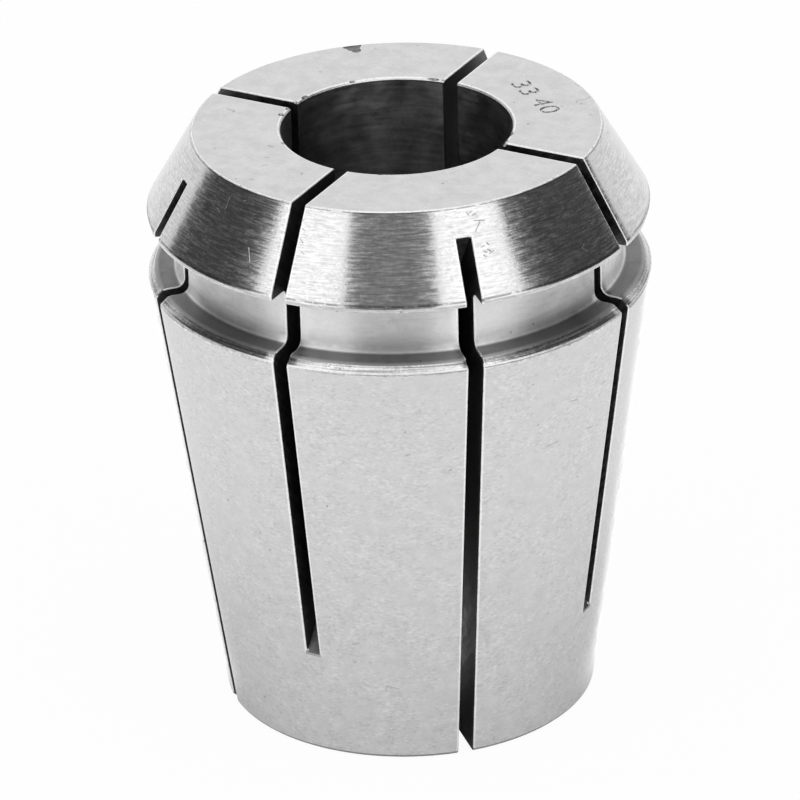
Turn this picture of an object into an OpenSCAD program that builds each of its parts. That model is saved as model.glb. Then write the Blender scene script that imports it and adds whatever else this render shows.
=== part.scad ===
// Slotted spring collet for a tap: a round bore for the shank, a square socket for its tail,
// an 8 degree taper outside, a nut groove and a 30 degree nose. One solid, slotted from both ends.
// It stands on its rear face, its axis is Z, and a slot from the front lies on each of X and Y.

/* [Body] */
// Length from the rear face to the front face
overall_len = 40; // [38:0.5:46]
// Largest diameter, where the taper would meet the shoulder at a sharp corner
large_d = 33; // [32:0.25:35]
// Half angle of the tapered body
taper_half_angle = 8; // [6:0.5:9]
// Radius that rounds the corner between the taper and the shoulder
corner_r = 0.65; // [0.3:0.05:0.9]
// Edge break round the rear face
rear_break = 0.2; // [0.1:0.05:0.5]

/* [Nose] */
// Diameter of the flat front face
face_d = 26.6; // [25:0.1:28]
// Diameter of the nose at its rim
rim_d = 32.7; // [31.5:0.1:33.5]
// Half angle of the nose cone
nose_half_angle = 30; // [26:1:36]
// Height of the narrow cylindrical land under the rim
rim_land = 0.35; // [0.2:0.05:0.8]

/* [Nut groove] */
// Diameter at the bottom of the groove
groove_d = 28.9; // [27:0.1:30]
// Width of the groove, from the land's lower edge to the shoulder
groove_w = 3.75; // [3:0.05:5]
// Fillet between the groove's wall and the shoulder
groove_foot_r = 0.6; // [0.3:0.05:1]
// Fillet between the groove's wall and the underside of the nose
groove_top_r = 0.4; // [0.2:0.05:0.8]

/* [Shank bore] */
// Diameter of the round bore
bore_d = 15; // [13:0.5:16.5]
// Edge break round the bore's mouth
mouth_break = 0.15; // [0.1:0.05:0.5]

/* [Square socket] */
// Width across the flats of the square that the socket drives
square_af = 12; // [10:0.5:12.5]
// Clearance between that square and the socket, flat to flat
square_clearance = 0.2; // [0.1:0.05:0.3]
// Height above the rear face at which the flats end
square_len = 14; // [10:0.5:17]
// Half angle of the cone that leads from the bore into the square
lead_half_angle = 60; // [45:5:75]
// Diameter of the countersink at the rear face
sink_d = 17; // [16.5:0.1:18.5]
// Half angle of the countersink
sink_half_angle = 45; // [30:5:60]

/* [Slots] */
// Width of the slots cut from the front
front_slot_w = 0.95; // [0.6:0.05:1.4]
// Width of the slots cut from the rear
rear_slot_w = 1; // [0.6:0.05:1.4]
// Height above the rear face at which the front slots end on the outside
front_slot_web = 7.6; // [5:0.2:12]
// Distance below the front face at which the rear slots end on the outside
rear_slot_web = 1.7; // [1:0.1:4]
// Radius of the saw that cuts the slots and rounds their ends
saw_r = 31.5; // [25:0.5:40]
// How far the saw runs past the wall into the bore
saw_reach = 1; // [0.5:0.1:2]

/* [Hidden] */
$fn = 96;

// A rear slot opens each corner of the square, and a front slot lies between two of them
slots_per_end = 4;
// Room that the cutting shapes keep outside the solid
clear = 5;
// How far a fillet's own piece sinks into the walls that it joins
root = 0.1;

bore_r = bore_d / 2;
large_r = large_d / 2;
face_r = face_d / 2;
rim_r = rim_d / 2;
groove_r = groove_d / 2;

// Heights, worked out downwards from the front face
nose_h = (rim_r - face_r) / tan(nose_half_angle);
rim_z = overall_len - nose_h;
land_z = rim_z - rim_land;
shoulder_z = land_z - groove_w;
rear_r = large_r - shoulder_z * tan(taper_half_angle);

// Half the socket's width, the height at which its lead reaches the bore's wall, and the height at
// which the countersink would reach its flats
flat_x = (square_af + square_clearance) / 2;
lead_z = square_len + (bore_r - flat_x) / tan(lead_half_angle);
sink_z = (sink_d / 2 - flat_x) / tan(sink_half_angle);

// Centre of the corner's arc, which touches the shoulder and the taper
corner_z = shoulder_z - corner_r;
corner_x = large_r - corner_r * tan(taper_half_angle) - corner_r / cos(taper_half_angle);

// The saw's centre line runs at this distance from the axis
saw_x = bore_r - saw_reach + saw_r;

// Straight stretches of half the turned outline, as [radius, height]
outline = [
    [0, 0],
    [rear_r - rear_break, 0],
    [rear_r + rear_break * tan(taper_half_angle), rear_break],
    [corner_x + corner_r * cos(taper_half_angle), corner_z - corner_r * sin(taper_half_angle)],
    [corner_x, shoulder_z],
    [groove_r, shoulder_z],
    [groove_r, land_z],
    [rim_r, land_z],
    [rim_r, rim_z],
    [face_r, overall_len],
    [0, overall_len]
];

// Fills the corner between the groove's wall and a flank at height z; the flank's solid lies
// below it (side = 1) or above it (side = -1)
module groove_fillet(r, z, side) {
    translate([groove_r, z]) difference() {
        translate([-root, side > 0 ? -root : -r]) square([r + root, r + root]);
        translate([r, side * r]) circle(r = r);
    }
}

module turned_blank() {
    rotate_extrude() {
        polygon(outline);
        translate([corner_x, corner_z]) circle(r = corner_r);
        groove_fillet(groove_foot_r, shoulder_z, 1);
        groove_fillet(groove_top_r, land_z, -1);
    }
}

// The bore ends in a short cone that leads into the square, whose corners run out in the rear slots
module bore_and_socket() {
    translate([0, 0, lead_z]) cylinder(r = bore_r, h = overall_len);
    translate([0, 0, square_len]) cylinder(r1 = flat_x, r2 = bore_r, h = lead_z - square_len);
    translate([-flat_x, -flat_x, -clear]) cube([2 * flat_x, 2 * flat_x, lead_z + clear]);
    mouth_cone();
    rear_countersink();
}

module mouth_cone() {
    translate([0, 0, overall_len - mouth_break])
        cylinder(r1 = bore_r, r2 = bore_r + mouth_break + clear, h = mouth_break + clear);
}

module rear_countersink() {
    spread = clear * tan(sink_half_angle);
    translate([0, 0, -clear])
        cylinder(r1 = sink_d / 2 + spread, r2 = flat_x, h = sink_z + clear);
}

// The path of a round saw along the axis: it ends in an arc whose tip lies at [tip_r, tip_z] on the
// outside, and it leaves the solid through the front (side = 1) or the rear (side = -1)
module saw_path(tip_r, tip_z, side) {
    centre_z = tip_z + side * sqrt(pow(saw_r, 2) - pow(saw_x - tip_r, 2));
    translate([saw_x, centre_z]) circle(r = saw_r, $fn = 180);
    translate([saw_x - saw_r, side > 0 ? centre_z : -clear])
        square([2 * saw_r, side > 0 ? overall_len + clear - centre_z : centre_z + clear]);
}

module slot(width, tip_r, tip_z, side) {
    rotate([90, 0, 0]) linear_extrude(height = width, center = true)
        saw_path(tip_r, tip_z, side);
}

module slots() {
    step = 360 / slots_per_end;
    for (i = [0 : slots_per_end - 1]) {
        rotate([0, 0, i * step])
            slot(front_slot_w, rear_r + front_slot_web * tan(taper_half_angle), front_slot_web, 1);
        rotate([0, 0, (i + 0.5) * step])
            slot(rear_slot_w, face_r + rear_slot_web * tan(nose_half_angle),
                 overall_len - rear_slot_web, -1);
    }
}

module collet() {
    color("silver") difference() {
        turned_blank();
        bore_and_socket();
        slots();
    }
}

collet();
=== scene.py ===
import math
import bpy
from mathutils import Matrix, Vector


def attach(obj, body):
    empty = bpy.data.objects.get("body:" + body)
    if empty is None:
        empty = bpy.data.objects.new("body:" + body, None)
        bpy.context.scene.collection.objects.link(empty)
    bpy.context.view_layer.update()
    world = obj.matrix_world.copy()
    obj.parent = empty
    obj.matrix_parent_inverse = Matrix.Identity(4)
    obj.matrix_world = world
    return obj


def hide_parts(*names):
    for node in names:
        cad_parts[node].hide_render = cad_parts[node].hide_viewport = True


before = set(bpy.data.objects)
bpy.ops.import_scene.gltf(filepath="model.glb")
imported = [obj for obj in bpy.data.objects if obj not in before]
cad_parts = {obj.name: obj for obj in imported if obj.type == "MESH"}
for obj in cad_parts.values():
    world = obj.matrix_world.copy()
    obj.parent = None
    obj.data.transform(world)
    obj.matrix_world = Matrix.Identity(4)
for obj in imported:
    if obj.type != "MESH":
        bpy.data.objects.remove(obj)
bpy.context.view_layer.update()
mm = 0.001
print("stage: frame loaded")

# Sizes of the collet in millimetres and degrees, heights from its rear face
collet = {
    "length": 40.0,
    "largeDiameter": 33.0,  # where the taper would meet the shoulder
    "taperAngle": 8.0,
    "cornerRadius": 0.65,
    "cornerRound": 12.0,  # the corner is round up to this angle, then turned flat at the next one
    "cornerFlat": 47.0,
    "cornerEnd": ((0.14, 0.0), (0.055, 0.13), (0.0, 0.38)),  # drop from the shoulder, way in
    "cornerSteps": 4,
    "footSteps": 7,
    "topSteps": 6,
    "rearBreak": 0.2,
    "faceDiameter": 26.6,
    "rimDiameter": 32.7,
    "noseAngle": 30.0,
    "land": 0.35,
    "grooveDiameter": 28.9,
    "grooveWidth": 3.75,
    "footFillet": 0.6,
    "topFillet": 0.4,
    "boreDiameter": 15.0,
    "mouthBreak": 0.15,
    "socketWidth": 12.2,
    "squareLength": 14.0,
    "leadAngle": 60.0,
    "sinkDiameter": 17.0,
    "sinkAngle": 45.0,
    "columns": 120,  # turned in this many steps, half a step off the slots
    "edgeWidth": 0.075,
    "edgeSteps": 2,
    "edgeAngle": 32.0,
    "sharpAngle": 50.0,
    "mergeGap": 0.0001,
    "flatWithin": 0.4,
    "over": 5.0,  # how far the cutting tools run out of the solid
    "risingNormal": 0.8,  # a side whose normal rises more than this belongs to the shoulder
    "levelNormal": 0.99,  # and one that rises more than this lies level
}

# The saw runs along the axis and its slots end in its own radius
saw = {
    "radius": 31.5,
    "reach": 1.0,
    "steps": 240,
    "tiny": 1e-6,  # in metres, keeps points on the disc's middle line in its near half
    "frontWidth": 0.95,
    "frontWeb": 7.6,  # height at which a front slot ends outside
    "rearWidth": 1.0,
    "rearWeb": 1.7,  # distance below the face at which a rear slot ends outside
    "perEnd": 4,
}


def tanDeg(angle):
    return math.tan(math.radians(angle))


def cosDeg(angle):
    return math.cos(math.radians(angle))


def sinDeg(angle):
    return math.sin(math.radians(angle))


faceR = collet["faceDiameter"] / 2
rimR = collet["rimDiameter"] / 2
grooveR = collet["grooveDiameter"] / 2
boreR = collet["boreDiameter"] / 2
flatX = collet["socketWidth"] / 2
rimZ = collet["length"] - (rimR - faceR) / tanDeg(collet["noseAngle"])
landZ = rimZ - collet["land"]
shoulderZ = landZ - collet["grooveWidth"]
rearR = collet["largeDiameter"] / 2 - shoulderZ * tanDeg(collet["taperAngle"])
leadZ = collet["squareLength"] + (boreR - flatX) / tanDeg(collet["leadAngle"])


def deselectAll():
    if bpy.context.object and bpy.context.object.mode != "OBJECT":
        bpy.ops.object.mode_set(mode="OBJECT")
    bpy.ops.object.select_all(action="DESELECT")


def makeActive(piece):
    deselectAll()
    piece.select_set(True)
    bpy.context.view_layer.objects.active = piece


def applyPlace(piece):
    makeActive(piece)
    bpy.ops.object.transform_apply(location=True, rotation=True, scale=True)


def arc(centreR, centreZ, radius, fromAngle, toAngle, steps):
    points = []
    for i in range(steps + 1):
        a = fromAngle + (toAngle - fromAngle) * i / steps
        points.append((centreR + radius * cosDeg(a), centreZ + radius * sinDeg(a)))
    return points


# A disc is extruded and scaled along the outline, as a turner works up a bar
def turnOutline(name, outline, columns):
    deselectAll()
    firstR, firstZ = outline[0]
    bpy.ops.mesh.primitive_circle_add(
        vertices=columns, radius=firstR * mm, fill_type="NGON",
        location=(0, 0, firstZ * mm), rotation=(0, 0, math.pi / columns))
    piece = bpy.context.object
    piece.name = name
    applyPlace(piece)
    bpy.ops.object.mode_set(mode="EDIT")
    bpy.ops.mesh.select_all(action="SELECT")
    heldR, heldZ = firstR, firstZ
    for r, z in outline[1:]:
        bpy.ops.mesh.extrude_region_move(
            TRANSFORM_OT_translate={"value": (0, 0, (z - heldZ) * mm)})
        share = r / heldR
        bpy.ops.transform.resize(value=(share, share, 1), center_override=(0, 0, z * mm))
        heldR, heldZ = r, z
    bpy.ops.mesh.select_all(action="SELECT")
    bpy.ops.mesh.normals_make_consistent(inside=False)
    bpy.ops.object.mode_set(mode="OBJECT")
    return piece


def outsideOutline():
    taper = collet["taperAngle"]
    cornerR = collet["cornerRadius"]
    rearBreak = collet["rearBreak"]
    cornerX = (collet["largeDiameter"] / 2 - cornerR * tanDeg(taper) - cornerR / cosDeg(taper))
    foot = collet["footFillet"]
    top = collet["topFillet"]
    points = [(rearR - rearBreak, 0), (rearR + rearBreak * tanDeg(taper), rearBreak)]
    points += arc(
        cornerX, shoulderZ - cornerR, cornerR, -taper, collet["cornerRound"], collet["cornerSteps"])
    flatR, flatZ = points[-1]
    endR = flatR - (shoulderZ - collet["cornerEnd"][0][0] - flatZ) * tanDeg(collet["cornerFlat"])
    points += [(endR - wayIn, shoulderZ - drop) for drop, wayIn in collet["cornerEnd"]]
    points += arc(grooveR + foot, shoulderZ + foot, foot, 270, 180, collet["footSteps"])
    points += arc(grooveR + top, landZ - top, top, 180, 90, collet["topSteps"])
    points += [(rimR, landZ), (rimR, rimZ), (faceR, collet["length"])]
    return points


def turnedBlank():
    return turnOutline("slottedCollet", outsideOutline(), collet["columns"])


def cutAway(piece, tool):
    makeActive(piece)
    cut = piece.modifiers.new("cut", "BOOLEAN")
    cut.operation = "DIFFERENCE"
    cut.solver = "EXACT"
    cut.material_mode = "TRANSFER"
    cut.object = tool
    bpy.ops.object.modifier_apply(modifier=cut.name)
    bpy.data.objects.remove(tool, do_unlink=True)


def boreTool():
    over = collet["over"]
    mouth = collet["mouthBreak"]
    outline = [
        (flatX, collet["squareLength"]), (boreR, leadZ), (boreR, collet["length"] - mouth),
        (boreR + mouth + over, collet["length"] + over)]
    return turnOutline("boreTool", outline, collet["columns"])


def sinkTool():
    over = collet["over"]
    sinkR = collet["sinkDiameter"] / 2
    tipZ = (sinkR - flatX) / tanDeg(collet["sinkAngle"])
    outline = [(sinkR + over * tanDeg(collet["sinkAngle"]), -over), (flatX, tipZ)]
    return turnOutline("sinkTool", outline, collet["columns"])


def squareTool():
    over = collet["over"]
    deselectAll()
    bpy.ops.mesh.primitive_cube_add(
        size=1, location=(0, 0, (leadZ - over) / 2 * mm),
        scale=(2 * flatX * mm, 2 * flatX * mm, (leadZ + over) * mm))
    tool = bpy.context.object
    applyPlace(tool)
    return tool


# One saw blade: a disc whose far half is drawn out along the axis
def sawTool(width, tipR, tipZ, side, angle):
    sawX = boreR - saw["reach"] + saw["radius"]
    centreZ = tipZ + side * math.sqrt(saw["radius"] ** 2 - (sawX - tipR) ** 2)
    deselectAll()
    bpy.ops.mesh.primitive_cylinder_add(
        vertices=saw["steps"], radius=saw["radius"] * mm, depth=width * mm,
        location=(sawX * mm, 0, centreZ * mm), rotation=(math.pi / 2, 0, 0))
    tool = bpy.context.object
    applyPlace(tool)
    for v in tool.data.vertices:
        v.select = side * (v.co.z - centreZ * mm) > saw["tiny"]
    for kind in (tool.data.edges, tool.data.polygons):
        for part in kind:
            part.select = all(tool.data.vertices[i].select for i in part.vertices)
    bpy.ops.object.mode_set(mode="EDIT")
    bpy.ops.transform.translate(value=(0, 0, side * collet["length"] / 2 * mm))
    bpy.ops.object.mode_set(mode="OBJECT")
    tool.rotation_euler = (0, 0, math.radians(angle))
    applyPlace(tool)
    return tool


def sawTools():
    step = 360 / saw["perEnd"]
    taperR = rearR + saw["frontWeb"] * tanDeg(collet["taperAngle"])
    noseR = faceR + saw["rearWeb"] * tanDeg(collet["noseAngle"])
    tools = []
    for i in range(saw["perEnd"]):
        tools.append(sawTool(saw["frontWidth"], taperR, saw["frontWeb"], 1, i * step))
        tools.append(sawTool(
            saw["rearWidth"], noseR, collet["length"] - saw["rearWeb"], -1, (i + 0.5) * step))
    deselectAll()
    for tool in tools:
        tool.select_set(True)
    bpy.context.view_layer.objects.active = tools[0]
    bpy.ops.object.join()
    return bpy.context.object


def roundEdges(piece):
    makeActive(piece)
    bpy.ops.object.mode_set(mode="EDIT")
    bpy.ops.mesh.select_all(action="SELECT")
    bpy.ops.mesh.remove_doubles(threshold=collet["mergeGap"] * mm)
    bpy.ops.mesh.dissolve_limited(
        angle_limit=math.radians(collet["flatWithin"]), delimit={"MATERIAL"})
    bpy.ops.object.mode_set(mode="OBJECT")
    edge = piece.modifiers.new("edge", "BEVEL")
    edge.limit_method = "ANGLE"
    edge.angle_limit = math.radians(collet["edgeAngle"])
    edge.width = collet["edgeWidth"] * mm
    edge.segments = collet["edgeSteps"]
    edge.use_clamp_overlap = False
    # The rounded edges take the painted-highlight finish
    edge.material = piece.data.materials.find("edgeHighlight")
    bpy.ops.object.modifier_apply(modifier=edge.name)


def shadeSteel(piece):
    makeActive(piece)
    bpy.ops.object.shade_smooth_by_angle(angle=math.radians(collet["sharpAngle"]))
    weigh = piece.modifiers.new("weigh", "WEIGHTED_NORMAL")
    weigh.mode = "FACE_AREA"
    weigh.keep_sharp = True
    bpy.ops.object.modifier_apply(modifier=weigh.name)


# Places on the turned surfaces: turn is counted from -Y, seen from the nose, in degrees
def atTurn(turn, radius, height):
    return Vector((radius * sinDeg(turn), -radius * cosDeg(turn), height))


def onFace(turn, radius):
    return atTurn(turn, radius, collet["length"])


def onNose(turn, height):
    radius = min(rimR, faceR + (collet["length"] - height) * tanDeg(collet["noseAngle"]))
    return atTurn(turn, radius, height)


def onTaper(turn, height):
    return atTurn(turn, rearR + height * tanDeg(collet["taperAngle"]), height)


def onBore(turn, height):
    return atTurn(turn, boreR, height)


# Small dents and chips, each an egg sunk into the edge: turn, radius, height, then its half sizes
# round the axis, outwards and along it
nicks = {
    "mouthAndFace": [
        (-92.2, 7.72, 40.02, 0.34, 0.20, 0.20), (-85, 7.66, 40.00, 0.20, 0.14, 0.16),
        (-77.5, 7.76, 40.05, 0.26, 0.22, 0.20), (-100.5, 7.64, 39.98, 0.30, 0.15, 0.22),
        (189.4, 7.62, 40.00, 0.42, 0.13, 0.16), (184.0, 7.64, 40.02, 0.18, 0.10, 0.12),
        (93.6, 7.60, 40.00, 0.55, 0.17, 0.30), (104.5, 7.62, 40.02, 0.36, 0.12, 0.20),
        (-43.5, 7.68, 40.05, 0.22, 0.16, 0.14), (20.0, 7.65, 40.04, 0.16, 0.12, 0.12),
        (230.0, 7.64, 40.02, 0.24, 0.12, 0.14)],
    "rimAndShoulder": [
        (28.6, 16.38, 34.42, 0.20, 0.07, 0.10), (46.6, 16.36, 34.70, 0.24, 0.12, 0.10),
        (2.0, 16.36, 34.36, 0.12, 0.06, 0.07), (-22.0, 16.37, 34.37, 0.16, 0.07, 0.07),
        (70.0, 16.36, 34.37, 0.14, 0.07, 0.07), (120.0, 16.36, 34.36, 0.22, 0.08, 0.08),
        (215.0, 16.36, 34.38, 0.18, 0.08, 0.08)],
    "steps": 2,
}

# A rubbed patch at the far edge of the face: corners as turn and radius, then how deep it lies
scuff = {
    "corners": [
        (-136.6, 13.19), (-138.6, 13.22), (-140.6, 13.20), (-142.0, 13.21), (-141.6, 12.92),
        (-141.0, 12.70), (-141.3, 12.40), (-140.8, 12.12), (-139.5, 12.02), (-138.5, 12.16),
        (-138.2, 12.42), (-137.5, 12.52), (-137.1, 12.80), (-136.4, 12.97)],
    "depth": 0.03,
    "toolHeight": 0.12,
}


def eggTool(name, marks, material):
    eggs = []
    for turn, radius, height, sideways, outwards, along in marks:
        deselectAll()
        bpy.ops.mesh.primitive_ico_sphere_add(
            subdivisions=nicks["steps"], radius=mm, location=atTurn(turn, radius, height) * mm,
            rotation=(0, 0, math.radians(turn)), scale=(sideways, outwards, along))
        egg = bpy.context.object
        egg.data.materials.append(material)
        applyPlace(egg)
        eggs.append(egg)
    deselectAll()
    for egg in eggs:
        egg.select_set(True)
    bpy.context.view_layer.objects.active = eggs[0]
    bpy.ops.object.join()
    tool = bpy.context.object
    tool.name = name
    return tool


def scuffTool(material):
    corners = scuff["corners"]
    deselectAll()
    bpy.ops.mesh.primitive_circle_add(vertices=len(corners), radius=mm, fill_type="NGON")
    tool = bpy.context.object
    tool.name = "faceScuff"
    for v, (turn, radius) in zip(tool.data.vertices, corners):
        v.co = (onFace(turn, radius) - Vector((0, 0, scuff["depth"]))) * mm
    tool.data.materials.append(material)
    bpy.ops.object.mode_set(mode="EDIT")
    bpy.ops.mesh.select_all(action="SELECT")
    bpy.ops.mesh.extrude_region_move(
        TRANSFORM_OT_translate={"value": (0, 0, scuff["toolHeight"] * mm)})
    bpy.ops.mesh.select_all(action="SELECT")
    bpy.ops.mesh.normals_make_consistent(inside=False)
    bpy.ops.object.mode_set(mode="OBJECT")
    return tool


# Plain size numbers engraved in the face, their tops outwards
numbers = {
    "text": "33 40",
    "turn": 141.3,
    "radius": 9.9,
    "height": 1.33,  # of a figure
    "length": 5.4,
    "depth": 0.09,
    "curveSteps": 6,
}


def numberTool(material):
    deselectAll()
    bpy.ops.object.text_add(location=(0, 0, 0))
    words = bpy.context.object
    words.data.body = numbers["text"]
    words.data.size = 1.0
    words.data.resolution_u = numbers["curveSteps"]
    words.data.extrude = 1.0
    words.data.align_x = "CENTER"
    words.data.align_y = "CENTER"
    bpy.ops.object.convert(target="MESH")
    tool = bpy.context.object
    corners = [v.co for v in tool.data.vertices]
    low = Vector([min(c[i] for c in corners) for i in range(3)])
    high = Vector([max(c[i] for c in corners) for i in range(3)])
    middle = (low + high) / 2
    grow = Vector((
        numbers["length"] / (high.x - low.x), numbers["height"] / (high.y - low.y),
        numbers["depth"]))
    place = onFace(numbers["turn"], numbers["radius"])
    tool.matrix_world = (
        Matrix.Translation(place * mm) @ Matrix.Rotation(math.radians(numbers["turn"] + 180), 4, "Z")
        @ Matrix.Diagonal((grow.x * mm, grow.y * mm, grow.z * mm, 1)) @ Matrix.Translation(-middle))
    tool.data.materials.clear()
    tool.data.materials.append(material)
    applyPlace(tool)
    bpy.ops.object.mode_set(mode="EDIT")
    bpy.ops.mesh.select_all(action="SELECT")
    bpy.ops.mesh.remove_doubles(threshold=collet["mergeGap"] * mm)
    bpy.ops.mesh.normals_make_consistent(inside=False)
    bpy.ops.object.mode_set(mode="OBJECT")
    return tool


# What the finishes share: relief in micrometres, widths in millimetres, the rest as shares
shared = {
    "pitFineness": 1.3,
    "pitDepth": 0.4,
    "pitRelief": 4.0,
    "raggedFineness": 6.0,
    "raggedPush": 0.22,
    "scratchDepth": 0.26,
    "scratchRelief": 5.0,
    "scratchRough": 0.5,
    "scratchCore": 1.3,
    "shineWidth": 0.16,
    "shineCore": 0.65,
    "roughnessShare": 0.15,
    "grainLow": 0.28,  # the heights that a grain seldom leaves
    "grainHigh": 0.72,
    "reliefUnit": 1e-6,
    "turnedQuarter": 0.25,  # turns the brushed highlight across the tool marks
}


# A value or a socket for each input, in order
def feed(tree, node, values):
    for socket, value in zip(node.inputs, values):
        if isinstance(value, bpy.types.NodeSocket):
            tree.links.new(value, socket)
        elif value is not None:
            socket.default_value = value


def mathNode(tree, operation, *values, clamp=False):
    node = tree.nodes.new("ShaderNodeMath")
    node.operation = operation
    node.use_clamp = clamp
    feed(tree, node, values)
    return node.outputs[0]


def times(tree, first, second):
    return mathNode(tree, "MULTIPLY", first, second)


def vectorNode(tree, operation, *values):
    node = tree.nodes.new("ShaderNodeVectorMath")
    node.operation = operation
    feed(tree, node, values)
    return node.outputs["Value" if operation in ("LENGTH", "DOT_PRODUCT", "DISTANCE") else "Vector"]


def rangeNode(tree, value, fromLow, fromHigh, toLow=0.0, toHigh=1.0):
    node = tree.nodes.new("ShaderNodeMapRange")
    node.interpolation_type = "SMOOTHSTEP"
    feed(tree, node, (value, fromLow, fromHigh, toLow, toHigh))
    return node.outputs[0]


def noiseNode(tree, vector, scale, detail, roughness=0.55):
    node = tree.nodes.new("ShaderNodeTexNoise")
    node.inputs["Scale"].default_value = scale
    node.inputs["Detail"].default_value = detail
    node.inputs["Roughness"].default_value = roughness
    tree.links.new(vector, node.inputs["Vector"])
    return node.outputs["Fac"]


def placeInMm(tree):
    place = tree.nodes.new("ShaderNodeTexCoord")
    grown = tree.nodes.new("ShaderNodeVectorMath")
    grown.operation = "SCALE"
    grown.inputs["Scale"].default_value = 1 / mm
    tree.links.new(place.outputs["Object"], grown.inputs[0])
    return grown.outputs["Vector"]


def splitNode(tree, vector):
    node = tree.nodes.new("ShaderNodeSeparateXYZ")
    tree.links.new(vector, node.inputs[0])
    return node.outputs


def radiusInMm(tree, vector):
    flat = vectorNode(tree, "MULTIPLY", vector, (1, 1, 0))
    return flat, vectorNode(tree, "LENGTH", flat)


def newGroup(name, inputs, output):
    tree = bpy.data.node_groups.new(name, "ShaderNodeTree")
    for label, kind, value in inputs:
        socket = tree.interface.new_socket(name=label, in_out="INPUT", socket_type=kind)
        socket.default_value = value
    tree.interface.new_socket(name=output, in_out="OUTPUT", socket_type="NodeSocketFloat")
    entry = tree.nodes.new("NodeGroupInput")
    leave = tree.nodes.new("NodeGroupOutput")
    return tree, entry.outputs, leave.inputs


def useGroup(tree, group, **values):
    node = tree.nodes.new("ShaderNodeGroup")
    node.node_tree = group
    for label, value in values.items():
        if isinstance(value, bpy.types.NodeSocket):
            tree.links.new(value, node.inputs[label])
        else:
            node.inputs[label].default_value = value
    return node.outputs[0]


# Short tool marks that run round the axis: Around sets their number, Across their fineness
def turnedMarksGroup():
    tree, entry, leave = newGroup("turnedMarks", [
        ("Around", "NodeSocketFloat", 16.0), ("Across", "NodeSocketFloat", 7.0)], "Height")
    place = placeInMm(tree)
    flat, radius = radiusInMm(tree, place)
    way = vectorNode(tree, "NORMALIZE", flat)
    ring = vectorNode(tree, "SCALE", way)
    scaled = tree.nodes[-1]
    tree.links.new(entry["Around"], scaled.inputs["Scale"])
    height = splitNode(tree, place)["Z"]
    across = mathNode(tree, "MULTIPLY", mathNode(tree, "SUBTRACT", radius, height), entry["Across"])
    lift = tree.nodes.new("ShaderNodeCombineXYZ")
    tree.links.new(across, lift.inputs["Z"])
    grain = noiseNode(tree, vectorNode(tree, "ADD", ring, lift.outputs[0]), 1.0, 2.0)
    tree.links.new(grain, leave["Height"])
    return tree


# Soft clouds that tint the steel and raise it a little
def mottleGroup():
    tree, entry, leave = newGroup("mottle", [("Fineness", "NodeSocketFloat", 2.0)], "Height")
    grain = noiseNode(tree, placeInMm(tree), 1.0, 4.0, 0.6)
    tree.links.new(entry["Fineness"], tree.nodes[-1].inputs["Scale"])
    tree.links.new(grain, leave["Height"])
    return tree


fleckShape = {
    "tilt": (0.5, 0.4, 0.3),
    "squeeze": (1.0, 1.0, 1.9),
    "patchScale": 0.35,
    "patches": (0.38, 0.62, 0.15, 1.0),
    "light": (0.58, 0.70, 0.0, 0.5),
    "dark": (0.42, 0.30, 0.0, 0.5),
    "bare": 0.5,
}


# Small light and dark flecks in patches, as fine grinding leaves them
def flecksGroup():
    tree, entry, leave = newGroup("flecks", [("Fineness", "NodeSocketFloat", 4.0)], "Height")
    place = placeInMm(tree)
    slanted = tree.nodes.new("ShaderNodeMapping")
    slanted.inputs["Rotation"].default_value = fleckShape["tilt"]
    slanted.inputs["Scale"].default_value = fleckShape["squeeze"]
    tree.links.new(place, slanted.inputs["Vector"])
    grain = noiseNode(tree, slanted.outputs[0], 1.0, 1.0)
    tree.links.new(entry["Fineness"], tree.nodes[-1].inputs["Scale"])
    spots = noiseNode(tree, place, fleckShape["patchScale"], 2.0)
    patches = rangeNode(tree, spots, *fleckShape["patches"])
    light = rangeNode(tree, grain, *fleckShape["light"])
    dark = rangeNode(tree, grain, *fleckShape["dark"])
    both = times(tree, mathNode(tree, "SUBTRACT", light, dark), patches)
    tree.links.new(mathNode(tree, "ADD", both, fleckShape["bare"]), leave["Height"])
    return tree


# Scattered pits: a cell has one when its random number is under Share
def pitsGroup():
    tree, entry, leave = newGroup("pits", [
        ("Fineness", "NodeSocketFloat", 1.2), ("Share", "NodeSocketFloat", 0.2),
        ("Size", "NodeSocketFloat", 0.12)], "Mask")
    place = placeInMm(tree)
    ragged = tree.nodes.new("ShaderNodeTexNoise")
    ragged.inputs["Scale"].default_value = shared["raggedFineness"]
    ragged.inputs["Detail"].default_value = 1.0
    tree.links.new(place, ragged.inputs["Vector"])
    push = tree.nodes.new("ShaderNodeVectorMath")
    push.operation = "SCALE"
    push.inputs["Scale"].default_value = shared["raggedPush"]
    tree.links.new(ragged.outputs["Color"], push.inputs[0])
    cells = tree.nodes.new("ShaderNodeTexVoronoi")
    tree.links.new(vectorNode(tree, "ADD", place, push.outputs["Vector"]), cells.inputs["Vector"])
    tree.links.new(entry["Fineness"], cells.inputs["Scale"])
    near = mathNode(tree, "LESS_THAN", cells.outputs["Distance"], entry["Size"])
    picked = splitNode(tree, cells.outputs["Color"])["X"]
    chosen = mathNode(tree, "LESS_THAN", picked, entry["Share"])
    tree.links.new(mathNode(tree, "MULTIPLY", near, chosen), leave["Mask"])
    return tree


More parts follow.
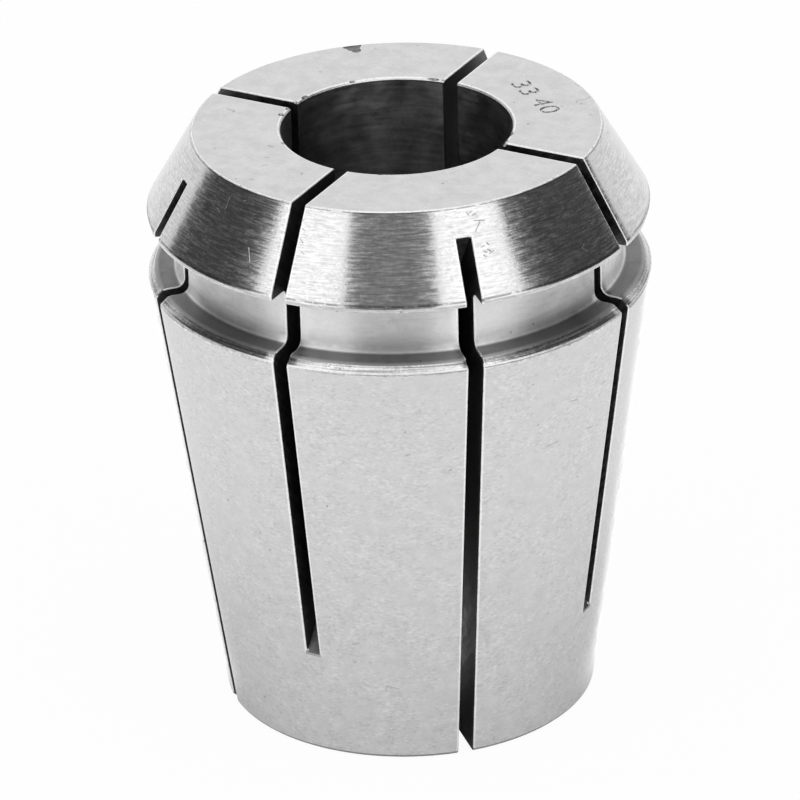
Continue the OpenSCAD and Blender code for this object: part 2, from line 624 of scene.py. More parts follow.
# One straight scratch: everything within HalfWidth of a line HalfLength long each way
def scratchGroup():
    tree, entry, leave = newGroup("scratch", [
        ("Centre", "NodeSocketVector", (0, 0, 0)), ("Along", "NodeSocketVector", (1, 0, 0)),
        ("HalfLength", "NodeSocketFloat", 1.0), ("HalfWidth", "NodeSocketFloat", 0.05)], "Mask")
    away = vectorNode(tree, "SUBTRACT", placeInMm(tree), entry["Centre"])
    reach = vectorNode(tree, "DOT_PRODUCT", away, entry["Along"])
    less = mathNode(tree, "MULTIPLY", entry["HalfLength"], -1.0)
    held = mathNode(tree, "MINIMUM", mathNode(tree, "MAXIMUM", reach, less), entry["HalfLength"])
    onLine = vectorNode(tree, "SCALE", entry["Along"])
    tree.links.new(held, tree.nodes[-1].inputs["Scale"])
    gap = vectorNode(tree, "LENGTH", vectorNode(tree, "SUBTRACT", away, onLine))
    share = mathNode(tree, "DIVIDE", gap, entry["HalfWidth"])
    tree.links.new(
        mathNode(tree, "SUBTRACT", shared["scratchCore"], share, clamp=True), leave["Mask"])
    return tree


# A painted highlight beside the slots' edges: 1 along them, falling to 0 at Width from their walls
def slotEdgeHighlightGroup():
    tree, entry, leave = newGroup("slotEdgeHighlight", [("Width", "NodeSocketFloat", 0.16)], "Mask")
    place = splitNode(tree, placeInMm(tree))
    half = math.sqrt(0.5)
    sum45 = times(tree, mathNode(tree, "ADD", place["X"], place["Y"]), half)
    gap45 = times(tree, mathNode(tree, "SUBTRACT", place["X"], place["Y"]), half)
    inFront = mathNode(tree, "GREATER_THAN", place["Z"], saw["frontWeb"])
    inRear = mathNode(tree, "LESS_THAN", place["Z"], collet["length"] - saw["rearWeb"])
    start = times(tree, entry["Width"], shared["shineCore"])
    masks = []
    for first, second, wide, inside in (
            (place["X"], place["Y"], saw["frontWidth"], inFront),
            (sum45, gap45, saw["rearWidth"], inRear)):
        near = mathNode(
            tree, "MINIMUM", mathNode(tree, "ABSOLUTE", first), mathNode(tree, "ABSOLUTE", second))
        away = mathNode(tree, "SUBTRACT", near, wide / 2)
        masks.append(times(tree, rangeNode(tree, away, start, entry["Width"], 1.0, 0.0), inside))
    tree.links.new(mathNode(tree, "MAXIMUM", *masks), leave["Mask"])
    return tree


groups = {
    "slotEdgeHighlight": slotEdgeHighlightGroup(),
    "turnedMarks": turnedMarksGroup(),
    "mottle": mottleGroup(),
    "flecks": flecksGroup(),
    "pits": pitsGroup(),
    "scratch": scratchGroup(),
}


# Scratches: turn and height of one end and of the other, radius in place of height on the face,
# and the half width
scratches = {
    "nose": [
        (48.4, 38.50, 50.4, 39.06, 0.045), (48.6, 39.12, 51.5, 39.02, 0.04),
        (47.6, 39.55, 48.4, 39.62, 0.04), (48.5, 39.42, 49.5, 39.48, 0.045),
        (47.0, 39.62, 47.4, 39.45, 0.04), (49.1, 37.60, 49.9, 37.64, 0.05),
        (50.8, 37.78, 51.2, 37.68, 0.05), (49.6, 37.35, 50.2, 37.28, 0.06),
        (50.7, 37.42, 51.3, 37.30, 0.06), (51.0, 37.20, 52.1, 37.28, 0.05),
        (49.3, 37.14, 49.9, 37.05, 0.06), (46.9, 37.60, 46.5, 37.10, 0.05),
        (77.4, 35.99, 76.2, 35.85, 0.045), (76.2, 35.85, 77.5, 35.55, 0.04),
        (-22.7, 39.22, -22.6, 38.45, 0.035), (-10.9, 36.97, -9.5, 36.28, 0.035),
        (-25.7, 38.31, -24.2, 38.19, 0.04), (-17.4, 39.30, -16.6, 39.38, 0.045),
        (1.6, 39.14, 2.6, 39.20, 0.04), (2.4, 38.72, 3.4, 38.62, 0.04), (2.6, 38.15, 3.5, 37.95, 0.045),
        (3.5, 37.45, 4.3, 37.36, 0.045)],
    "face": [
        (144.6, 13.07, 142.8, 13.15, 0.055), (134.8, 13.19, 133.3, 12.79, 0.05),
        (133.3, 12.79, 133.6, 12.25, 0.055), (133.6, 12.25, 131.7, 12.04, 0.045),
        (130.6, 12.28, 130.9, 12.33, 0.09), (122.4, 12.5, 122.0, 12.68, 0.06),
        (-78.2, 11.5, -76.7, 10.86, 0.06), (-77.2, 10.95, -76.2, 10.88, 0.10),
        (-47.9, 12.0, -47.5, 12.15, 0.07), (-22.0, 12.2, -21.0, 12.1, 0.09),
        (-12.4, 9.3, -11.8, 9.5, 0.08), (-43.5, 8.7, -41.5, 8.5, 0.10), (-34.0, 9.6, -32.6, 9.4, 0.06),
        (-28.0, 10.4, -27.4, 10.1, 0.06)],
    "bore": [
        (-147.0, 38.3, -141.0, 38.35, 0.05), (-158.0, 37.2, -150.0, 37.2, 0.04),
        (178.0, 36.9, 185.0, 36.8, 0.04)],
    "taper": [
        (4.6, 21.28, 19.3, 24.07, 0.02), (6.9, 21.77, 14.1, 23.27, 0.025),
        (82.4, 25.50, 84.0, 25.60, 0.06), (71.4, 25.46, 73.4, 25.40, 0.06),
        (78.4, 22.64, 80.8, 22.60, 0.055), (64.8, 22.66, 68.0, 22.78, 0.05),
        (-10.2, 15.13, -9.8, 15.13, 0.08), (-23.6, 17.75, -23.2, 17.75, 0.10),
        (24.8, 5.60, 21.4, 5.80, 0.05), (21.4, 5.80, 21.2, 5.45, 0.05), (12.4, 8.95, 14.2, 9.10, 0.06),
        (12.4, 7.50, 13.0, 7.62, 0.07), (28.6, 23.90, 29.6, 24.0, 0.07),
        (38.9, 22.5, 39.4, 22.6, 0.06)],
}
placeOn = {"nose": onNose, "face": onFace, "bore": onBore, "taper": onTaper}


def scratchMask(tree, zone):
    mask = None
    for startTurn, startAt, endTurn, endAt, halfWidth in scratches[zone]:
        start = placeOn[zone](startTurn, startAt)
        end = placeOn[zone](endTurn, endAt)
        one = useGroup(
            tree, groups["scratch"], Centre=(start + end) / 2, Along=(end - start).normalized(),
            HalfLength=(end - start).length / 2, HalfWidth=halfWidth)
        mask = one if mask is None else mathNode(tree, "MAXIMUM", mask, one)
    return mask


# How each finish looks. Colours and shares are linear, heights of the relief in micrometres
plainFinish = {
    "anisotropic": 0.0,
    "lineRough": 0.1,
    "scratches": None,  # or the zone whose scratches it has
    "darkEnds": 0.0,
    "slotHighlight": 0.0,
}

finishes = {
    "turnedNose": {
        "color": 0.61, "roughness": 0.17, "anisotropic": 0.45, "around": 13.0, "across": 6.0,
        "lineShare": 0.18, "lineRelief": 2.8, "lineRough": 0.42, "fineness": 2.4, "mottleShare": 0.07,
        "mottleRelief": 1.6, "fleckFineness": 4.0, "fleckShare": 0.12, "fleckRelief": 1.8,
        "pitShare": 0.0, "pitSize": 0.14, "scratches": "nose", "darkEnds": 0.55, "slotHighlight": 0.35},
    "groundFace": {
        "color": 0.645, "roughness": 0.3, "around": 12.0, "across": 1.2, "lineShare": 0.02,
        "lineRelief": 0.6, "fineness": 0.7, "mottleShare": 0.085, "mottleRelief": 3.0,
        "fleckFineness": 4.0, "fleckShare": 0.035, "fleckRelief": 3.0, "pitShare": 0.12, "pitSize": 0.1,
        "scratches": "face", "slotHighlight": 0.4},
    # Painted light: the groove's steel is set lighter than the rest
    "turnedGroove": {
        "color": 0.88, "roughness": 0.42, "anisotropic": 1.0, "around": 6.0, "across": 5.0,
        "lineShare": 0.05, "lineRelief": 0.5, "fineness": 1.3, "mottleShare": 0.09, "mottleRelief": 1.0,
        "fleckFineness": 3.0, "fleckShare": 0.04, "fleckRelief": 1.0, "pitShare": 0.06, "pitSize": 0.12,
        "slotHighlight": 0.3},
    "turnedCorner": {
        "color": 0.54, "roughness": 0.22, "anisotropic": 0.4, "around": 2.5, "across": 4.5,
        "lineShare": 0.55, "lineRelief": 10.0, "lineRough": 0.3, "fineness": 2.5, "mottleShare": 0.14,
        "mottleRelief": 1.5, "fleckFineness": 6.0, "fleckShare": 0.25, "fleckRelief": 1.8,
        "pitShare": 0.5, "pitSize": 0.13, "slotHighlight": 0.5},
    "groundTaper": {
        "color": 0.68, "roughness": 0.33, "anisotropic": 0.3, "around": 8.0, "across": 1.6,
        "lineShare": 0.03, "lineRelief": 0.8, "fineness": 1.2, "mottleShare": 0.05, "mottleRelief": 2.4,
        "fleckFineness": 3.2, "fleckShare": 0.1, "fleckRelief": 5.0, "pitShare": 0.12, "pitSize": 0.09,
        "scratches": "taper", "slotHighlight": 0.4},
    # Its dark colour is painted shade inside the bore
    "shadedHonedBore": {
        "color": 0.32, "roughness": 0.36, "anisotropic": 0.5, "around": 3.0, "across": 5.0,
        "lineShare": 0.1, "lineRelief": 0.8, "fineness": 0.8, "mottleShare": 0.06, "mottleRelief": 0.8,
        "fleckFineness": 3.0, "fleckShare": 0.06, "fleckRelief": 2.0, "pitShare": 0.05, "pitSize": 0.1,
        "scratches": "bore"},
    # Its near-black colour is painted shade inside the slots
    "sawnSlotShaded": {
        "color": 0.14, "roughness": 0.5, "around": 6.0, "across": 3.0, "lineShare": 0.15,
        "lineRelief": 1.5, "fineness": 2.0, "mottleShare": 0.15, "mottleRelief": 2.0,
        "fleckFineness": 3.0, "fleckShare": 0.1, "fleckRelief": 2.0, "pitShare": 0.1, "pitSize": 0.15},
    # Steel of the cut socket, also laid on the rear edge break as painted shade
    "socketCutAndRearShade": {
        "color": 0.45, "roughness": 0.38, "anisotropic": 0.3, "around": 8.0, "across": 4.0,
        "lineShare": 0.12, "lineRelief": 1.6, "fineness": 2.0, "mottleShare": 0.1, "mottleRelief": 2.0,
        "fleckFineness": 3.0, "fleckShare": 0.1, "fleckRelief": 2.0, "pitShare": 0.1, "pitSize": 0.12},
    # Near-white colour of the rounded edges: a painted highlight
    "edgeHighlight": {
        "color": 0.97, "roughness": 0.5, "around": 30.0, "across": 8.0, "lineShare": 0.1,
        "lineRelief": 1.0, "fineness": 3.0, "mottleShare": 0.12, "mottleRelief": 2.0,
        "fleckFineness": 4.0, "fleckShare": 0.12, "fleckRelief": 4.0, "pitShare": 0.08, "pitSize": 0.2},
    "chippedSteel": {
        "color": 0.45, "roughness": 0.42, "around": 12.0, "across": 8.0, "lineShare": 0.2,
        "lineRelief": 2.0, "fineness": 6.0, "mottleShare": 0.5, "mottleRelief": 3.0,
        "fleckFineness": 6.0, "fleckShare": 0.3, "fleckRelief": 3.0, "pitShare": 0.2, "pitSize": 0.2},
    "rubbedSteel": {
        "color": 0.2, "roughness": 0.45, "around": 30.0, "across": 12.0, "lineShare": 0.2,
        "lineRelief": 2.0, "fineness": 4.0, "mottleShare": 0.35, "mottleRelief": 4.0,
        "fleckFineness": 6.0, "fleckShare": 0.2, "fleckRelief": 3.0, "pitShare": 0.2, "pitSize": 0.2},
    "engravedSteel": {
        "color": 0.6, "roughness": 0.42, "around": 30.0, "across": 12.0, "lineShare": 0.3,
        "lineRelief": 2.0, "fineness": 8.0, "mottleShare": 0.3, "mottleRelief": 4.0,
        "fleckFineness": 6.0, "fleckShare": 0.2, "fleckRelief": 3.0, "pitShare": 0.2, "pitSize": 0.3},
}


# A height turned into a factor a share under and over one
def spreadAbout(tree, height, share):
    return rangeNode(tree, height, shared["grainLow"], shared["grainHigh"], 1 - share, 1 + share)


def steelFinish(name, own):
    look = {**plainFinish, **own}
    made = bpy.data.materials.new(name)
    made.use_nodes = True
    tree = made.node_tree
    shader = tree.nodes["Principled BSDF"]
    shader.inputs["Metallic"].default_value = 1
    shader.inputs["Anisotropic"].default_value = look["anisotropic"]
    lines = useGroup(tree, groups["turnedMarks"], Around=look["around"], Across=look["across"])
    cloudy = useGroup(tree, groups["mottle"], Fineness=look["fineness"])
    flecks = useGroup(tree, groups["flecks"], Fineness=look["fleckFineness"])
    pits = useGroup(
        tree, groups["pits"], Fineness=shared["pitFineness"], Share=look["pitShare"], Size=look["pitSize"])
    tone = times(
        tree, spreadAbout(tree, lines, look["lineShare"]), spreadAbout(tree, cloudy, look["mottleShare"]))
    tone = times(tree, tone, spreadAbout(tree, flecks, look["fleckShare"]))
    tone = times(tree, tone, mathNode(tree, "SUBTRACT", 1.0, times(tree, pits, shared["pitDepth"])))
    relief = mathNode(
        tree, "ADD", times(tree, lines, look["lineRelief"]), times(tree, cloudy, look["mottleRelief"]))
    relief = mathNode(tree, "ADD", relief, times(tree, flecks, look["fleckRelief"]))
    relief = mathNode(tree, "SUBTRACT", relief, times(tree, pits, shared["pitRelief"]))
    # Painted highlight beside the slot edges
    if look["slotHighlight"]:
        slotHighlightMask = useGroup(tree, groups["slotEdgeHighlight"], Width=shared["shineWidth"])
        shine = times(tree, slotHighlightMask, look["slotHighlight"])
        tone = times(tree, tone, mathNode(tree, "ADD", 1.0, shine))
    if look["scratches"]:
        marks = scratchMask(tree, look["scratches"])
        kept = mathNode(tree, "SUBTRACT", 1.0, times(tree, marks, shared["scratchDepth"]))
        tone = times(tree, tone, kept)
        relief = mathNode(tree, "SUBTRACT", relief, times(tree, marks, shared["scratchRelief"]))
    # Painted shade beside the cone's two edges
    if look["darkEnds"]:
        tone = times(tree, tone, paintedConeShade(tree, look["darkEnds"], cloudy))
    # Painted light and shade laid on by place
    if name in paintedLightByFinish:
        tone = times(tree, tone, paintedLightByFinish[name](tree))
    gray = times(tree, tone, look["color"])
    paint = tree.nodes.new("ShaderNodeCombineColor")
    for channel in ("Red", "Green", "Blue"):
        tree.links.new(gray, paint.inputs[channel])
    tree.links.new(paint.outputs[0], shader.inputs["Base Color"])
    rough = times(tree, spreadAbout(tree, cloudy, shared["roughnessShare"]), look["roughness"])
    rough = times(tree, rough, spreadAbout(tree, lines, look["lineRough"]))
    if look["scratches"]:
        rough = mathNode(tree, "MAXIMUM", rough, times(tree, marks, shared["scratchRough"]))
    tree.links.new(rough, shader.inputs["Roughness"])
    bump = tree.nodes.new("ShaderNodeBump")
    bump.inputs["Strength"].default_value = 1
    bump.inputs["Distance"].default_value = shared["reliefUnit"]
    tree.links.new(relief, bump.inputs["Height"])
    tree.links.new(bump.outputs[0], shader.inputs["Normal"])
    if look["anisotropic"]:
        shader.inputs["Anisotropic Rotation"].default_value = shared["turnedQuarter"]
        tangent = tree.nodes.new("ShaderNodeTangent")
        tangent.direction_type = "RADIAL"
        tangent.axis = "Z"
        tree.links.new(tangent.outputs[0], shader.inputs["Tangent"])
    return made


# Painted shade darkens the cone in a hair's breadth beside its two edges, but not where its clouds are low
coneShadePlace = {
    "rimEnd": (0.08, 0.16, 1.0, 0.0),
    "rimStart": (-0.01, 0.02),
    "face": (0.16, 0.10),
    "cloud": (0.35, 0.5),
}


def paintedConeShade(tree, depth, cloudy):
    height = splitNode(tree, placeInMm(tree))["Z"]
    rimFrom, rimTo, full, none = coneShadePlace["rimEnd"]
    low = rangeNode(tree, height, rimZ + rimFrom, rimZ + rimTo, full, none)
    above = rangeNode(tree, height, rimZ + coneShadePlace["rimStart"][0], rimZ + coneShadePlace["rimStart"][1])
    topFrom, topTo = coneShadePlace["face"]
    top = rangeNode(tree, height, collet["length"] - topFrom, collet["length"] - topTo)
    both = mathNode(tree, "MAXIMUM", times(tree, low, above), top)
    broken = times(tree, both, rangeNode(tree, cloudy, *coneShadePlace["cloud"]))
    return mathNode(tree, "SUBTRACT", 1.0, times(tree, broken, depth))


# Painted light on the groove's foot, heights from the shoulder: painted shade at the foot, over it a
# painted highlight line, and painted shade on the wall's lower half
grooveShadePlace = {
    "paintedShade": (0.05, 0.15, 0.33, 1.0),
    "highlightUp": (0.08, 0.15, 0.0, 0.2),
    "highlightDown": (0.17, 0.26, 0.0, 0.2),
    "wall": (0.25, 1.5, 0.8, 1.0),
    "outerFrom": 0.9,  # from the groove's radius
    "outerTo": 0.35,  # in from the rim's radius
    "outerTone": 0.62,
}


def grooveFootShadeAndHighlight(tree):
    place = placeInMm(tree)
    height = splitNode(tree, place)["Z"]
    radius = radiusInMm(tree, place)[1]
    low, highlightUp, highlightDown, wallShade = (
        rangeNode(tree, height, shoulderZ + start, shoulderZ + end, first, last)
        for start, end, first, last in (grooveShadePlace[key] for key in ("paintedShade", "highlightUp", "highlightDown", "wall")))
    tone = mathNode(tree, "ADD", low, mathNode(tree, "SUBTRACT", highlightUp, highlightDown))
    outer = rangeNode(
        tree, radius, grooveR + grooveShadePlace["outerFrom"], rimR - grooveShadePlace["outerTo"], 0.0,
        grooveShadePlace["outerTone"])
    return times(tree, mathNode(tree, "MAXIMUM", tone, outer), wallShade)


# A painted highlight brightens the narrow edge break at the bore's mouth; the bore under it keeps its
# darker, painted-shade colour
mouthHighlightPlace = {"from": 0.01, "to": 0.04, "bright": 2.1}


def mouthHighlight(tree):
    height = splitNode(tree, placeInMm(tree))["Z"]
    low = collet["length"] - collet["mouthBreak"]
    return rangeNode(
        tree, height, low + mouthHighlightPlace["from"], low + mouthHighlightPlace["to"], 1.0, mouthHighlightPlace["bright"])


# Painted shade: the slots' walls are darker near the bore
slotShadePlace = {"from": 1.0, "to": 5.0, "inner": 0.4}


def slotDepthShade(tree):
    radius = radiusInMm(tree, placeInMm(tree))[1]
    return rangeNode(
        tree, radius, boreR + slotShadePlace["from"], boreR + slotShadePlace["to"], slotShadePlace["inner"], 1.0)


# Painted shade darkens the edges inside the slots and round the foot; only those on the outside keep their
# painted highlight
edgeShadePlace = {
    "landUnder": 0.05,
    "shoulderUnder": 0.1,
    "deep": (0.14, 0.24),  # in from the outside
    "faceUnder": 0.13,
    "inner": 0.9,
    "foot": (0.28, 0.34, 0.6, 0.0),
    "slotHalf": 0.6,  # an edge this near a front slot's middle belongs to it
    "slotTop": 7.78,
    "slotLow": 6.0,
    "slotEnd": 0.6,
}


def edgeRecessShade(tree):
    place = placeInMm(tree)
    parts = splitNode(tree, place)
    height = parts["Z"]
    radius = radiusInMm(tree, place)[1]
    drop = mathNode(tree, "SUBTRACT", collet["length"], height)
    cone = mathNode(tree, "ADD", faceR, times(tree, drop, tanDeg(collet["noseAngle"])))
    cone = mathNode(tree, "MINIMUM", cone, rimR)
    taper = mathNode(tree, "ADD", rearR, times(tree, height, tanDeg(collet["taperAngle"])))
    isNose = mathNode(tree, "GREATER_THAN", height, landZ - edgeShadePlace["landUnder"])
    isTaper = mathNode(tree, "LESS_THAN", height, shoulderZ - edgeShadePlace["shoulderUnder"])
    isGroove = mathNode(tree, "SUBTRACT", 1.0, mathNode(tree, "ADD", isNose, isTaper))
    outside = mathNode(tree, "ADD", times(tree, isNose, cone), times(tree, isTaper, taper))
    outside = mathNode(tree, "ADD", outside, times(tree, isGroove, grooveR))
    deep = rangeNode(tree, mathNode(tree, "SUBTRACT", outside, radius), *edgeShadePlace["deep"])
    below = mathNode(tree, "LESS_THAN", height, collet["length"] - edgeShadePlace["faceUnder"])
    inner = times(tree, times(tree, deep, below), edgeShadePlace["inner"])
    foot = rangeNode(tree, height, *edgeShadePlace["foot"])
    nearAxis = mathNode(
        tree, "MINIMUM", mathNode(tree, "ABSOLUTE", parts["X"]), mathNode(tree, "ABSOLUTE", parts["Y"]))
    slotEnd = times(
        tree, mathNode(tree, "LESS_THAN", nearAxis, edgeShadePlace["slotHalf"]),
        mathNode(tree, "LESS_THAN", height, edgeShadePlace["slotTop"]))
    slotEnd = times(tree, slotEnd, mathNode(tree, "GREATER_THAN", height, edgeShadePlace["slotLow"]))
    slotEnd = times(tree, slotEnd, edgeShadePlace["slotEnd"])
    paintedShade = mathNode(tree, "MAXIMUM", inner, mathNode(tree, "MAXIMUM", foot, slotEnd))
    return mathNode(tree, "SUBTRACT", 1.0, paintedShade)


# Painted light and shade laid on by place, for each finish
paintedLightByFinish = {
    "turnedGroove": grooveFootShadeAndHighlight,
    "shadedHonedBore": mouthHighlight,
    "sawnSlotShaded": slotDepthShade,
    "edgeHighlight": edgeRecessShade,
}


def steelMaterials():
    return {name: steelFinish(name, look) for name, look in finishes.items()}


# The turned blank's zones, from the height of each face and the way it points
def finishZones(piece, steels):
    order = [
        "turnedNose", "groundFace", "turnedGroove", "turnedCorner", "groundTaper", "socketCutAndRearShade",
        "edgeHighlight"]
    for name in order:
        piece.data.materials.append(steels[name])
    cornerLow = shoulderZ - collet["cornerRadius"] * (1 + sinDeg(collet["taperAngle"]))
    for side in piece.data.polygons:
        height = side.center.z / mm
        zone = "groundTaper"
        # The rear edge break takes the socket's darker steel as painted shade
        if height < collet["rearBreak"]:
            zone = "socketCutAndRearShade"
        if height > cornerLow:
            zone = "turnedCorner"
        rises = side.normal.z > collet["risingNormal"]
        if height > shoulderZ - collet["mergeGap"] or (height > cornerLow and rises):
            zone = "turnedGroove"
        if height > landZ + collet["land"] / 4:
            zone = "turnedNose"
        level = abs(side.normal.z) > collet["levelNormal"]
        if level and (height > rimZ or height < shoulderZ / 2):
            zone = "groundFace"
        side.material_index = order.index(zone)


def inSteel(tool, material):
    tool.data.materials.clear()
    tool.data.materials.append(material)
    return tool


steels = steelMaterials()
print("stage: finishes ready")
body = turnedBlank()
finishZones(body, steels)
print("stage: blank turned,", len(body.data.polygons), "faces")
cutAway(body, inSteel(boreTool(), steels["shadedHonedBore"]))
cutAway(body, inSteel(squareTool(), steels["socketCutAndRearShade"]))
cutAway(body, inSteel(sinkTool(), steels["socketCutAndRearShade"]))
print("stage: bored,", len(body.data.polygons), "faces")
cutAway(body, inSteel(sawTools(), steels["sawnSlotShaded"]))
print("stage: slotted,", len(body.data.polygons), "faces")
roundEdges(body)
print("stage: edges rounded,", len(body.data.polygons), "faces")
for group in ("mouthAndFace", "rimAndShoulder"):
    cutAway(body, eggTool(group, nicks[group], steels["chippedSteel"]))
cutAway(body, scuffTool(steels["rubbedSteel"]))
cutAway(body, numberTool(steels["engravedSteel"]))
shadeSteel(body)
print("stage: worn and numbered,", len(body.data.polygons), "faces,", len(steels), "finishes")

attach(body, "root")
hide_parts("collet")

# Camera as the photo was taken: round the axis from the front, above the floor, with a slight roll
view = {
    "azimuth": 28.5,
    "elevation": 26.35,
    "roll": -1.52,
    "distance": 511.35,
    "aimHeight": 20.0,
    "lens": 349.8,
    "shiftX": -0.0047,
    "shiftY": 0.0028,
    "near": 0.01,
    "far": 20.0,
}


# A place seen from the aim point, with its azimuth counted from the camera's
def around(azimuth, elevation, distance):
    a = math.radians(view["azimuth"] + azimuth)
    e = math.radians(elevation)
    way = Vector((math.sin(a) * math.cos(e), -math.cos(a) * math.cos(e), math.sin(e)))
    return Vector((0, 0, view["aimHeight"] * mm)) + way * distance


def facing(place):
    aim = Vector((0, 0, view["aimHeight"] * mm))
    return Matrix.Translation(place) @ (aim - place).to_track_quat("-Z", "Y").to_matrix().to_4x4()


def addCamera():
    place = around(0, view["elevation"], view["distance"] * mm)
    camera = bpy.data.objects.new("camera", bpy.data.cameras.new("camera"))
    bpy.context.scene.collection.objects.link(camera)
    camera.matrix_world = facing(place) @ Matrix.Rotation(math.radians(view["roll"]), 4, "Z")
    camera.data.lens = view["lens"]
    camera.data.shift_x = view["shiftX"]
    camera.data.shift_y = view["shiftY"]
    camera.data.clip_start = view["near"]
    camera.data.clip_end = view["far"]
    bpy.context.scene.camera = camera


addCamera()

# Soft boxes and dark cards, azimuths from the camera, places in metres and degrees
softBoxes = {
    "leftBox": {
        "azimuth": -48.5, "elevation": 32, "distance": 0.68, "wide": 0.58, "high": 0.63,
        "level": 0.52},
    "rightBox": {
        "azimuth": 41, "elevation": 32, "distance": 0.68, "wide": 0.58, "high": 0.63,
        "level": 0.56},
    "topBox": {
        "azimuth": 0, "elevation": 78, "distance": 0.8, "wide": 0.7, "high": 0.6,
        "level": 0.15},
}

# A card glows at its level in the middle and rises to its edge value towards both sides
cardFade = (0.26, 0.5)
darkCards = {
    "frontCard": {
        "azimuth": -4.5, "elevation": 26.5, "distance": 0.57, "wide": 0.385, "high": 0.56,
        "level": 0.26, "edge": 0.38},
    "rightCard": {
        "azimuth": 91.4, "elevation": 27, "distance": 0.6, "wide": 0.685, "high": 0.76,
        "level": 0.085, "edge": 0.22},
    "leftCard": {
        "azimuth": -96.8, "elevation": 27, "distance": 0.6, "wide": 0.575, "high": 0.76,
        "level": 0.085, "edge": 0.22},
    "rearRightCard": {
        "azimuth": 142, "elevation": 16, "distance": 0.66, "wide": 0.3, "high": 0.26,
        "level": 0.42, "edge": 0.75},
    "rearLeftCard": {
        "azimuth": -143, "elevation": 15, "distance": 0.66, "wide": 0.3, "high": 0.26,
        "level": 0.42, "edge": 0.75},
}


def addSoftBox(name, box):
    light = bpy.data.lights.new(name, "AREA")
    light.shape = "RECTANGLE"
    light.size = box["wide"]
    light.size_y = box["high"]
    light.energy = box["level"] * math.pi * box["wide"] * box["high"]
    lamp = bpy.data.objects.new(name, light)
    bpy.context.scene.collection.objects.link(lamp)
    lamp.matrix_world = facing(around(box["azimuth"], box["elevation"], box["distance"]))


def addDarkCard(name, card):
    deselectAll()
    bpy.ops.mesh.primitive_plane_add(size=1)
    plane = bpy.context.object
    plane.name = name
    place = facing(around(card["azimuth"], card["elevation"], card["distance"]))
    plane.matrix_world = place @ Matrix.Diagonal((card["wide"], card["high"], 1, 1))
    made = bpy.data.materials.new(name)
    made.use_nodes = True
    tree = made.node_tree
    tree.nodes.clear()
    spot = tree.nodes.new("ShaderNodeTexCoord")
    side = mathNode(tree, "ABSOLUTE", splitNode(tree, spot.outputs["Object"])["X"])
    glow = tree.nodes.new("ShaderNodeEmission")
    glow.inputs["Color"].default_value = (1, 1, 1, 1)
    strength = rangeNode(tree, side, *cardFade, card["level"], card["edge"])
    tree.links.new(strength, glow.inputs["Strength"])
    out = tree.nodes.new("ShaderNodeOutputMaterial")
    tree.links.new(glow.outputs[0], out.inputs["Surface"])
    plane.data.materials.append(made)
    plane.visible_camera = False
    plane.visible_diffuse = False
    plane.visible_shadow = False


for name, box in softBoxes.items():
    addSoftBox(name, box)
for name, card in darkCards.items():
    addDarkCard(name, card)

stage = {
    "floorSize": 6.0,
    "floorColor": 0.9,
    "floorGap": 0.02,  # keeps the rear face and the floor from lying in one plane
    "seenWhite": 0.95,  # how much of the floor is plain white to the camera
    "mirroredLow": 0.0,  # the same in the steel, beside the collet and further out
    "mirroredHigh": 1.0,
    "nearRadius": 13.0,
    "farRadius": 46.0,
    "backGlow": 0.9,  # extra light that the steel mirrors from a strip of floor behind the collet
    "glowSide": 14.0,
    "glowSlope": 2.2,
    "glowFrom": -6.0,
    "glowTo": 4.0,
    "glowEnd": 60.0,
    "glowOut": 90.0,
    "stripWhite": 0.85,
    "frontShade": 0.1,  # the floor in front is a little darker in the middle, out of the picture
    "shadeFrom": -60.0,
    "shadeTo": -66.0,
    "shadeSide": 27.0,
    "shadeEnd": 37.0,
    "worldLevel": 0.8,
}


# The camera's own rays, and the rays that show the background in metal or glass
def mirroredRay(tree):
    path = tree.nodes.new("ShaderNodeLightPath")
    both = mathNode(tree, "MAXIMUM", path.outputs["Is Glossy Ray"], path.outputs["Is Transmission Ray"])
    return path.outputs["Is Camera Ray"], both


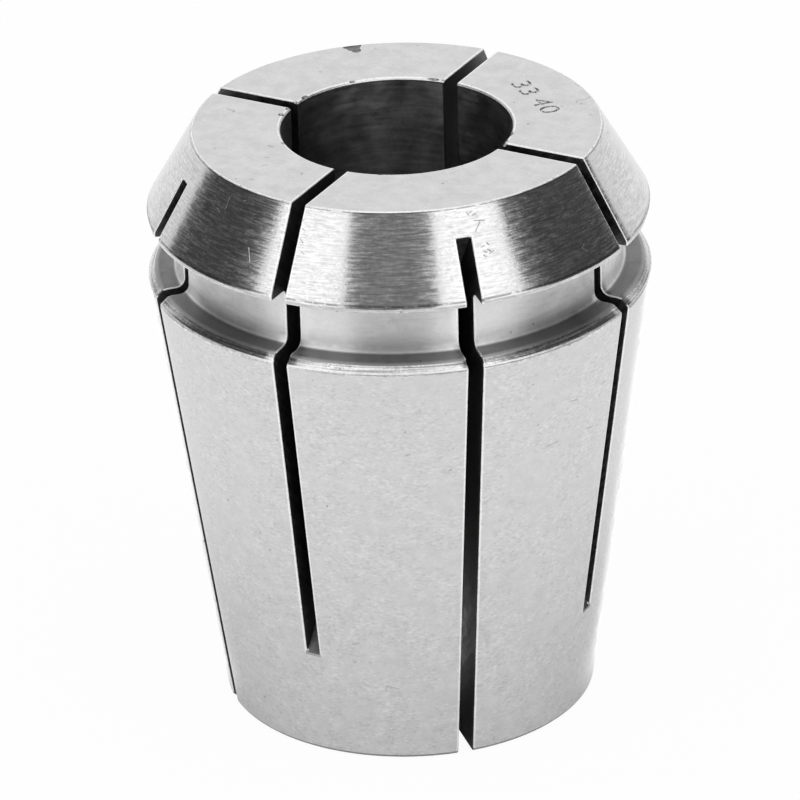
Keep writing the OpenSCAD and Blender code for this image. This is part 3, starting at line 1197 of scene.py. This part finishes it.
def addFloor():
    deselectAll()
    bpy.ops.mesh.primitive_plane_add(size=stage["floorSize"])
    floor = bpy.context.object
    floor.name = "floor"
    floor.location.z = -stage["floorGap"] * mm
    made = bpy.data.materials.new("paleFloor")
    made.use_nodes = True
    tree = made.node_tree
    tree.nodes.clear()
    matt = tree.nodes.new("ShaderNodeBsdfDiffuse")
    matt.inputs["Color"].default_value = (stage["floorColor"],) * 3 + (1,)
    white = tree.nodes.new("ShaderNodeEmission")
    seen, mirrored = mirroredRay(tree)
    flat, radius = radiusInMm(tree, placeInMm(tree))
    spread = rangeNode(
        tree, radius, stage["nearRadius"], stage["farRadius"], stage["mirroredLow"], stage["mirroredHigh"])
    aim = Vector((0, 0, view["aimHeight"] * mm))
    depth = vectorNode(tree, "DOT_PRODUCT", flat, around(180, 0, 1) - aim)
    side = mathNode(tree, "ABSOLUTE", vectorNode(tree, "DOT_PRODUCT", flat, around(90, 0, 1) - aim))
    front = rangeNode(tree, depth, stage["shadeFrom"], stage["shadeTo"], 0.0, stage["frontShade"])
    front = times(tree, front, rangeNode(tree, side, stage["shadeSide"], stage["shadeEnd"], 1.0, 0.0))
    beside = mathNode(tree, "MAXIMUM", mathNode(tree, "SUBTRACT", side, stage["glowSide"]), 0.0)
    slope = times(tree, beside, stage["glowSlope"])
    strip = rangeNode(
        tree, mathNode(tree, "SUBTRACT", depth, slope), stage["glowFrom"], stage["glowTo"], 0.0, 1.0)
    glow = times(tree, strip, rangeNode(tree, depth, stage["glowEnd"], stage["glowOut"], 1.0, 0.0))
    glow = mathNode(tree, "SUBTRACT", times(tree, glow, stage["backGlow"]), front)
    spread = mathNode(tree, "MAXIMUM", spread, times(tree, strip, stage["stripWhite"]))
    tree.links.new(
        mathNode(tree, "ADD", 1.0, times(tree, mirrored, glow)), white.inputs["Strength"])
    share = mathNode(
        tree, "ADD", times(tree, seen, stage["seenWhite"]), times(tree, mirrored, spread), clamp=True)
    mix = tree.nodes.new("ShaderNodeMixShader")
    out = tree.nodes.new("ShaderNodeOutputMaterial")
    tree.links.new(share, mix.inputs["Fac"])
    tree.links.new(matt.outputs[0], mix.inputs[1])
    tree.links.new(white.outputs[0], mix.inputs[2])
    tree.links.new(mix.outputs[0], out.inputs["Surface"])
    floor.data.materials.append(made)


def addWorld():
    world = bpy.data.worlds.new("studio")
    bpy.context.scene.world = world
    world.use_nodes = True
    tree = world.node_tree
    tree.nodes.clear()
    room = tree.nodes.new("ShaderNodeBackground")
    room.inputs["Color"].default_value = (stage["worldLevel"],) * 3 + (1,)
    white = tree.nodes.new("ShaderNodeBackground")
    white.inputs["Color"].default_value = (1, 1, 1, 1)
    mix = tree.nodes.new("ShaderNodeMixShader")
    out = tree.nodes.new("ShaderNodeOutputWorld")
    seen, mirrored = mirroredRay(tree)
    tree.links.new(mathNode(tree, "MAXIMUM", seen, mirrored), mix.inputs["Fac"])
    tree.links.new(room.outputs[0], mix.inputs[1])
    tree.links.new(white.outputs[0], mix.inputs[2])
    tree.links.new(mix.outputs[0], out.inputs["Surface"])


addFloor()
addWorld()
bpy.context.scene.view_settings.view_transform = "Standard"
print("stage: studio set")
